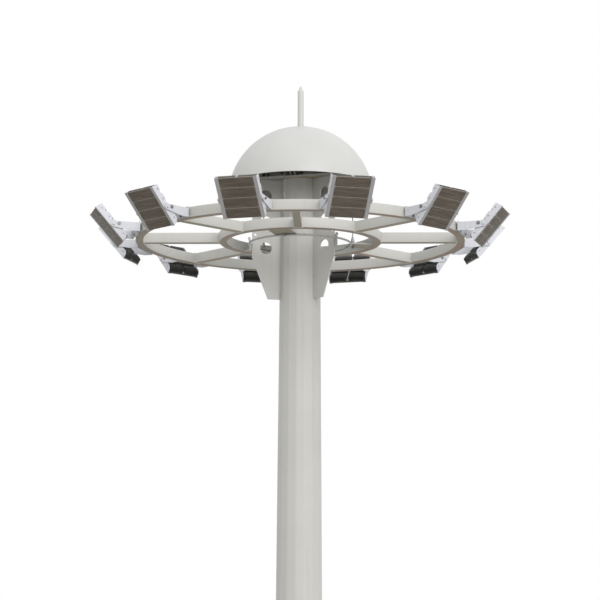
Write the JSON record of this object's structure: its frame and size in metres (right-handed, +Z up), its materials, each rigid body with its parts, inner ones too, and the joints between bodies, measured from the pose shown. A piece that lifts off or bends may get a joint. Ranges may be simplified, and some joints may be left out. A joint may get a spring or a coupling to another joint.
{
  "type": "high mast floodlight tower",
  "caption": "Tapered many-sided mast with a ring carriage of tilting LED floodlights that is lowered on ropes, a domed head cover and a lightning rod.",
  "frame": {"origin": "centre of the base flange's underside", "axes": "+Z up along the mast; -Y is the side of the access door"},
  "size_m": [3.1928, 3.1928, 16.767],
  "materials": {
    "mast_paint": "satin off-white coating over galvanised steel",
    "dome_paint": "smooth satin off-white coating",
    "carriage_paint": "satin off-white coating with a rusty tint at the welds",
    "galvanised_steel": "dull zinc",
    "sheave_iron": "dark, worn",
    "wire_rope": "stranded stainless steel",
    "lamp_bracket": "pale blue-grey powder coat",
    "led_module": "dark cast body behind a brown-grey lens cover"
  },
  "bodies": {
    "mast": {"base_flange": "mast_paint", "base_stiffeners": "mast_paint", "lower_section": "mast_paint", "door_frame": "mast_paint", "access_door": "mast_paint", "upper_section": "mast_paint", "guide_fins": "mast_paint", "head_plate": "mast_paint", "sheave_brackets": "galvanised_steel", "sheaves": "sheave_iron", "lift_ropes": "wire_rope", "dome_supports": "mast_paint", "dome": "dome_paint", "lightning_rod": "mast_paint"},
    "carriage": {"outer_ring": "carriage_paint", "middle_ring": "carriage_paint", "spokes": "carriage_paint", "guide_ring": "carriage_paint", "rope_plates": "carriage_paint", "rope_sockets": "galvanised_steel", "yokes": "lamp_bracket"},
    "floodlight_01": {"floodlight_01_frame": "lamp_bracket", "floodlight_01_modules": "led_module"},
    "floodlight_02": {"floodlight_02_frame": "lamp_bracket", "floodlight_02_modules": "led_module"},
    "floodlight_03": {"floodlight_03_frame": "lamp_bracket", "floodlight_03_modules": "led_module"},
    "floodlight_04": {"floodlight_04_frame": "lamp_bracket", "floodlight_04_modules": "led_module"},
    "floodlight_05": {"floodlight_05_frame": "lamp_bracket", "floodlight_05_modules": "led_module"},
    "floodlight_06": {"floodlight_06_frame": "lamp_bracket", "floodlight_06_modules": "led_module"},
    "floodlight_07": {"floodlight_07_frame": "lamp_bracket", "floodlight_07_modules": "led_module"},
    "floodlight_08": {"floodlight_08_frame": "lamp_bracket", "floodlight_08_modules": "led_module"},
    "floodlight_09": {"floodlight_09_frame": "lamp_bracket", "floodlight_09_modules": "led_module"},
    "floodlight_10": {"floodlight_10_frame": "lamp_bracket", "floodlight_10_modules": "led_module"},
    "floodlight_11": {"floodlight_11_frame": "lamp_bracket", "floodlight_11_modules": "led_module"},
    "floodlight_12": {"floodlight_12_frame": "lamp_bracket", "floodlight_12_modules": "led_module"}
  },
  "joints": [
    {"name": "carriage_lift", "type": "slide", "parent": "mast", "child": "carriage", "axis": [0, 0, 1], "range_m": [-14.1, 0]},
    {"name": "floodlight_01_tilt", "type": "hinge", "parent": "carriage", "child": "floodlight_01", "pos_m": [0.38046, -1.41991, 15.568], "axis": [0.9659, 0.2588, 0], "range_deg": [-30, 35]},
    {"name": "floodlight_02_tilt", "type": "hinge", "parent": "carriage", "child": "floodlight_02", "pos_m": [1.03945, -1.03945, 15.568], "axis": [0.7071, 0.7071, 0], "range_deg": [-30, 35]},
    {"name": "floodlight_03_tilt", "type": "hinge", "parent": "carriage", "child": "floodlight_03", "pos_m": [1.41991, -0.38046, 15.568], "axis": [0.2588, 0.9659, 0], "range_deg": [-30, 35]},
    {"name": "floodlight_04_tilt", "type": "hinge", "parent": "carriage", "child": "floodlight_04", "pos_m": [1.41991, 0.38046, 15.568], "axis": [-0.2588, 0.9659, 0], "range_deg": [-30, 35]},
    {"name": "floodlight_05_tilt", "type": "hinge", "parent": "carriage", "child": "floodlight_05", "pos_m": [1.03945, 1.03945, 15.568], "axis": [-0.7071, 0.7071, 0], "range_deg": [-30, 35]},
    {"name": "floodlight_06_tilt", "type": "hinge", "parent": "carriage", "child": "floodlight_06", "pos_m": [0.38046, 1.41991, 15.568], "axis": [-0.9659, 0.2588, 0], "range_deg": [-30, 35]},
    {"name": "floodlight_07_tilt", "type": "hinge", "parent": "carriage", "child": "floodlight_07", "pos_m": [-0.38046, 1.41991, 15.568], "axis": [-0.9659, -0.2588, 0], "range_deg": [-30, 35]},
    {"name": "floodlight_08_tilt", "type": "hinge", "parent": "carriage", "child": "floodlight_08", "pos_m": [-1.03945, 1.03945, 15.568], "axis": [-0.7071, -0.7071, 0], "range_deg": [-30, 35]},
    {"name": "floodlight_09_tilt", "type": "hinge", "parent": "carriage", "child": "floodlight_09", "pos_m": [-1.41991, 0.38046, 15.568], "axis": [-0.2588, -0.9659, 0], "range_deg": [-30, 35]},
    {"name": "floodlight_10_tilt", "type": "hinge", "parent": "carriage", "child": "floodlight_10", "pos_m": [-1.41991, -0.38046, 15.568], "axis": [0.2588, -0.9659, 0], "range_deg": [-30, 35]},
    {"name": "floodlight_11_tilt", "type": "hinge", "parent": "carriage", "child": "floodlight_11", "pos_m": [-1.03945, -1.03945, 15.568], "axis": [0.7071, -0.7071, 0], "range_deg": [-30, 35]},
    {"name": "floodlight_12_tilt", "type": "hinge", "parent": "carriage", "child": "floodlight_12", "pos_m": [-0.38046, -1.41991, 15.568], "axis": [0.9659, -0.2588, 0], "range_deg": [-30, 35]}
  ]
}
